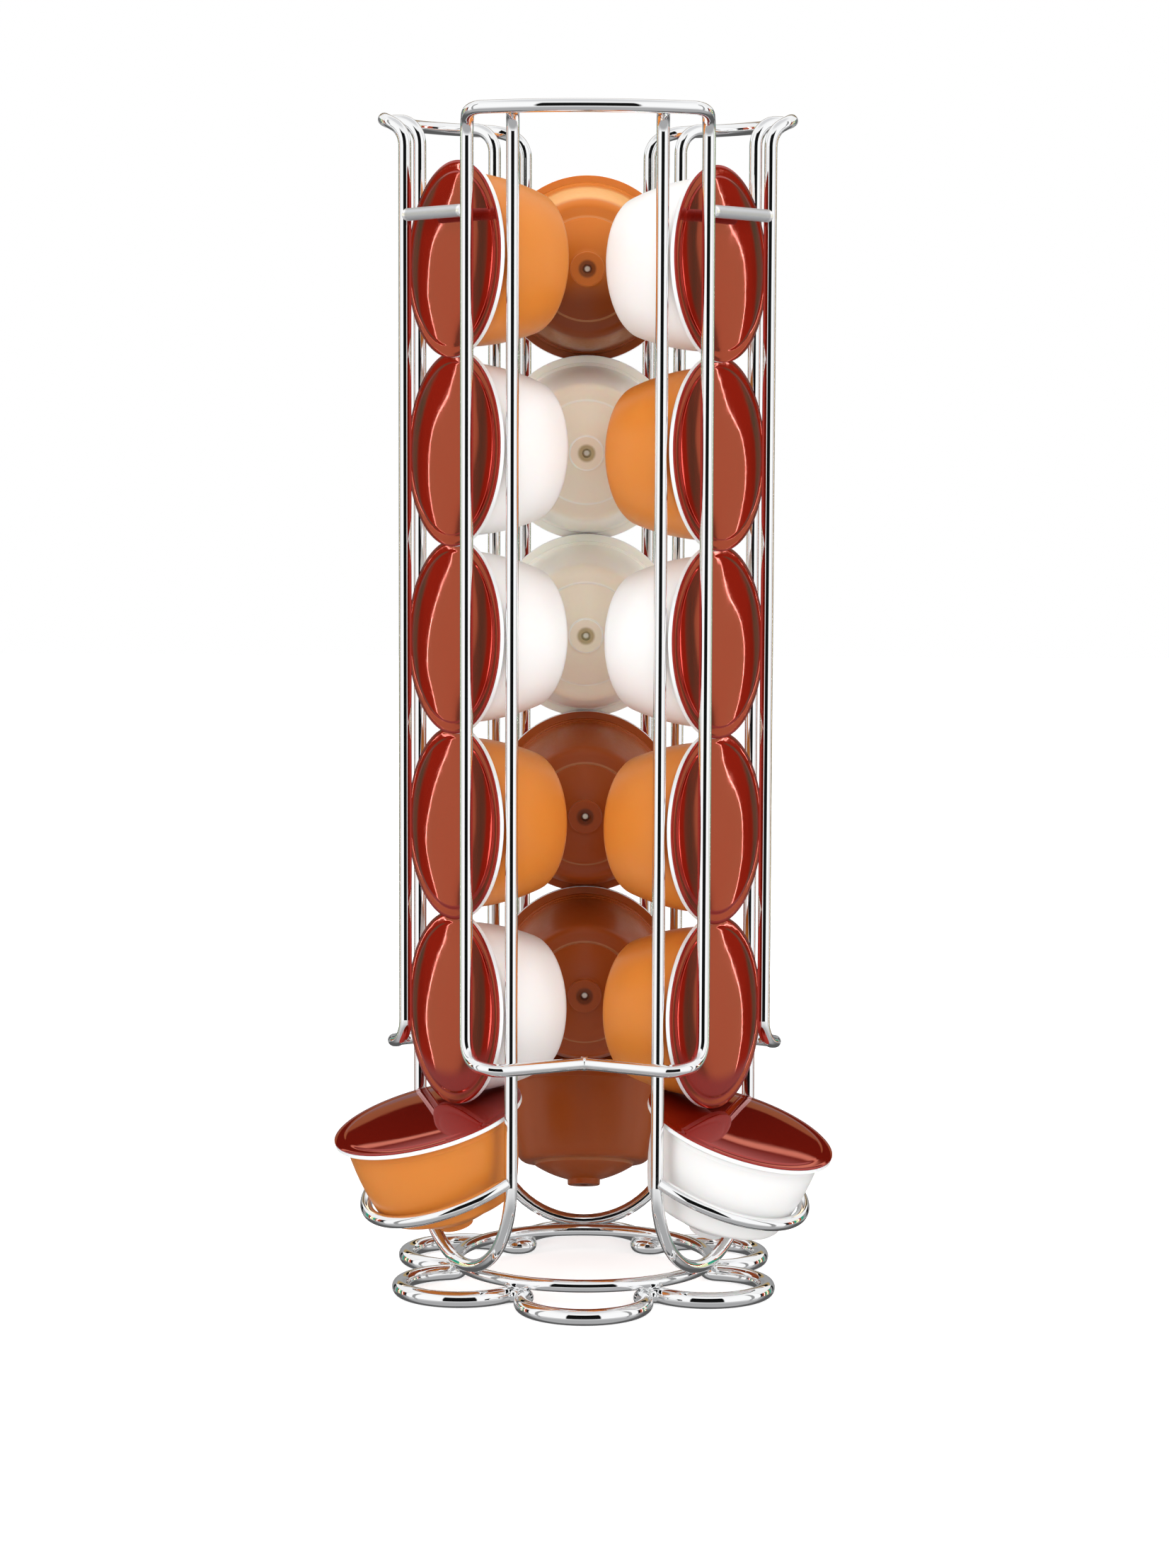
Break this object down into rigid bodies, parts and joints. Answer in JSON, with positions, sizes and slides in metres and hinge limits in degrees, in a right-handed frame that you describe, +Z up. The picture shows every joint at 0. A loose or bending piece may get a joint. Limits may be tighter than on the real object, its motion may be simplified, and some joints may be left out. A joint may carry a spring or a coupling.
{
  "type": "coffee capsule dispenser",
  "caption": "Freestanding chrome wire tower that stores coffee capsules on edge in three lanes and serves each lane's lowest one from a tilted cradle.",
  "frame": {"origin": "on the tower's axis, on the surface that the foot stands on", "axes": "+Z up along the tower's axis; +X to the right and +Y away from the viewer, with one lane facing +Y and a guard loop facing -Y"},
  "size_m": [0.1395, 0.1356, 0.3305],
  "materials": {
    "tower_wire": "bright chrome plate on round steel wire",
    "bar_wire": "softer chrome plate on round steel wire",
    "cup_orange": "glossy translucent orange plastic",
    "cup_white": "glossy white plastic",
    "cup_clear": "milky translucent plastic",
    "cup_amber": "translucent brown-orange plastic",
    "lid_foil": "lacquered brick-red foil"
  },
  "bodies": {
    "tower": {"foot_wire": "tower_wire", "base_ring": "tower_wire", "guard_loop_front": "tower_wire", "guard_loop_left": "tower_wire", "guard_loop_right": "tower_wire", "lane_hairpin_left": "tower_wire", "lane_hairpin_right": "tower_wire", "lane_hairpin_back": "tower_wire", "cross_bar_left": "bar_wire", "cross_bar_right": "bar_wire", "cross_bar_back": "bar_wire", "cradle_left": "tower_wire", "cradle_right": "tower_wire", "cradle_back": "tower_wire"},
    "left_capsule_1": {"cup_left_1": "cup_orange", "lid_left_1": "lid_foil"},
    "left_capsule_2": {"cup_left_2": "cup_white", "lid_left_2": "lid_foil"},
    "left_capsule_3": {"cup_left_3": "cup_orange", "lid_left_3": "lid_foil"},
    "left_capsule_4": {"cup_left_4": "cup_white", "lid_left_4": "lid_foil"},
    "left_capsule_5": {"cup_left_5": "cup_white", "lid_left_5": "lid_foil"},
    "left_capsule_6": {"cup_left_6": "cup_orange", "lid_left_6": "lid_foil"},
    "right_capsule_1": {"cup_right_1": "cup_white", "lid_right_1": "lid_foil"},
    "right_capsule_2": {"cup_right_2": "cup_orange", "lid_right_2": "lid_foil"},
    "right_capsule_3": {"cup_right_3": "cup_orange", "lid_right_3": "lid_foil"},
    "right_capsule_4": {"cup_right_4": "cup_white", "lid_right_4": "lid_foil"},
    "right_capsule_5": {"cup_right_5": "cup_orange", "lid_right_5": "lid_foil"},
    "right_capsule_6": {"cup_right_6": "cup_white", "lid_right_6": "lid_foil"},
    "back_capsule_1": {"cup_back_1": "cup_amber", "lid_back_1": "lid_foil"},
    "back_capsule_2": {"cup_back_2": "cup_amber", "lid_back_2": "lid_foil"},
    "back_capsule_3": {"cup_back_3": "cup_amber", "lid_back_3": "lid_foil"},
    "back_capsule_4": {"cup_back_4": "cup_clear", "lid_back_4": "lid_foil"},
    "back_capsule_5": {"cup_back_5": "cup_clear", "lid_back_5": "lid_foil"},
    "back_capsule_6": {"cup_back_6": "cup_orange", "lid_back_6": "lid_foil"}
  },
  "joints": [
    {"name": "left_capsule_1_lift", "type": "slide", "parent": "tower", "child": "left_capsule_1", "axis": [-0.3796, -0.2192, 0.8988], "range_m": [0, 0.012]},
    {"name": "left_capsule_2_rise", "type": "slide", "parent": "tower", "child": "left_capsule_2", "axis": [0, 0, 1], "range_m": [0, 0.013]},
    {"name": "left_capsule_3_lift", "type": "slide", "parent": "left_capsule_2", "child": "left_capsule_3", "axis": [0, 0, 1], "range_m": [0, 0.2277]},
    {"name": "left_capsule_4_lift", "type": "slide", "parent": "left_capsule_3", "child": "left_capsule_4", "axis": [0, 0, 1], "range_m": [0, 0.1758]},
    {"name": "left_capsule_5_lift", "type": "slide", "parent": "left_capsule_4", "child": "left_capsule_5", "axis": [0, 0, 1], "range_m": [0, 0.1239]},
    {"name": "left_capsule_6_lift", "type": "slide", "parent": "left_capsule_5", "child": "left_capsule_6", "axis": [0, 0, 1], "range_m": [0, 0.072]},
    {"name": "right_capsule_1_lift", "type": "slide", "parent": "tower", "child": "right_capsule_1", "axis": [0.3796, -0.2192, 0.8988], "range_m": [0, 0.012]},
    {"name": "right_capsule_2_rise", "type": "slide", "parent": "tower", "child": "right_capsule_2", "axis": [0, 0, 1], "range_m": [0, 0.013]},
    {"name": "right_capsule_3_lift", "type": "slide", "parent": "right_capsule_2", "child": "right_capsule_3", "axis": [0, 0, 1], "range_m": [0, 0.2277]},
    {"name": "right_capsule_4_lift", "type": "slide", "parent": "right_capsule_3", "child": "right_capsule_4", "axis": [0, 0, 1], "range_m": [0, 0.1758]},
    {"name": "right_capsule_5_lift", "type": "slide", "parent": "right_capsule_4", "child": "right_capsule_5", "axis": [0, 0, 1], "range_m": [0, 0.1239]},
    {"name": "right_capsule_6_lift", "type": "slide", "parent": "right_capsule_5", "child": "right_capsule_6", "axis": [0, 0, 1], "range_m": [0, 0.072]},
    {"name": "back_capsule_1_lift", "type": "slide", "parent": "tower", "child": "back_capsule_1", "axis": [0, 0.4384, 0.8988], "range_m": [0, 0.012]},
    {"name": "back_capsule_2_rise", "type": "slide", "parent": "tower", "child": "back_capsule_2", "axis": [0, 0, 1], "range_m": [0, 0.013]},
    {"name": "back_capsule_3_lift", "type": "slide", "parent": "back_capsule_2", "child": "back_capsule_3", "axis": [0, 0, 1], "range_m": [0, 0.2277]},
    {"name": "back_capsule_4_lift", "type": "slide", "parent": "back_capsule_3", "child": "back_capsule_4", "axis": [0, 0, 1], "range_m": [0, 0.1758]},
    {"name": "back_capsule_5_lift", "type": "slide", "parent": "back_capsule_4", "child": "back_capsule_5", "axis": [0, 0, 1], "range_m": [0, 0.1239]},
    {"name": "back_capsule_6_lift", "type": "slide", "parent": "back_capsule_5", "child": "back_capsule_6", "axis": [0, 0, 1], "range_m": [0, 0.072]}
  ],
  "couplings": [
    {"joint": "left_capsule_2_rise", "follows": "left_capsule_1_lift", "ratio": 1.0261},
    {"joint": "right_capsule_2_rise", "follows": "right_capsule_1_lift", "ratio": 1.0523},
    {"joint": "back_capsule_2_rise", "follows": "back_capsule_1_lift", "ratio": 1.0412}
  ]
}
